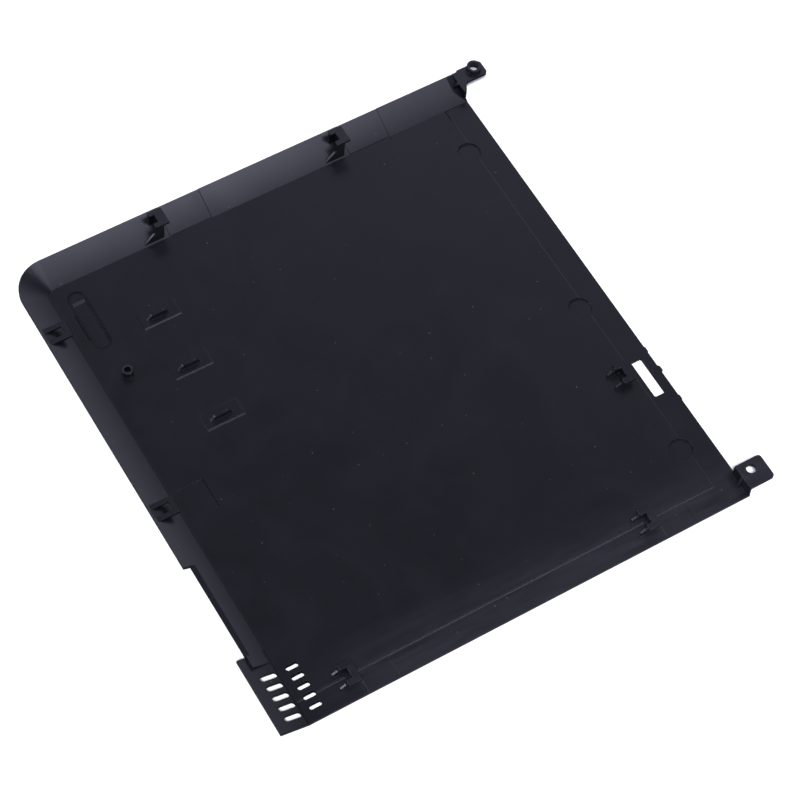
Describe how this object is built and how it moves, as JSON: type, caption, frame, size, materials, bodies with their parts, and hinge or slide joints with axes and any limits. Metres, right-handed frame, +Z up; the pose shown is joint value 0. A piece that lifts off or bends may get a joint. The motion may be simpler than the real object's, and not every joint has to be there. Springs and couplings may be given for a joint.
{
  "type": "laptop hard drive cover",
  "caption": "Shallow moulded plastic door for a laptop's drive bay, with sloped walls, snap hooks, raised screw ears, locating ribs, a latch window and vent slots.",
  "frame": {"origin": "middle of the outline, on the outer face that the cover lies on", "axes": "+Z up out of the inner side, +Y towards the long sloped wall with the tall hooks, +X towards the screw ears"},
  "size_m": [0.1704, 0.173, 0.0095],
  "materials": {
    "cover_plastic": "satin black moulded plastic with a faint blue cast"
  },
  "bodies": {
    "root": {"drive_cover": "cover_plastic"}
  },
  "joints": []
}
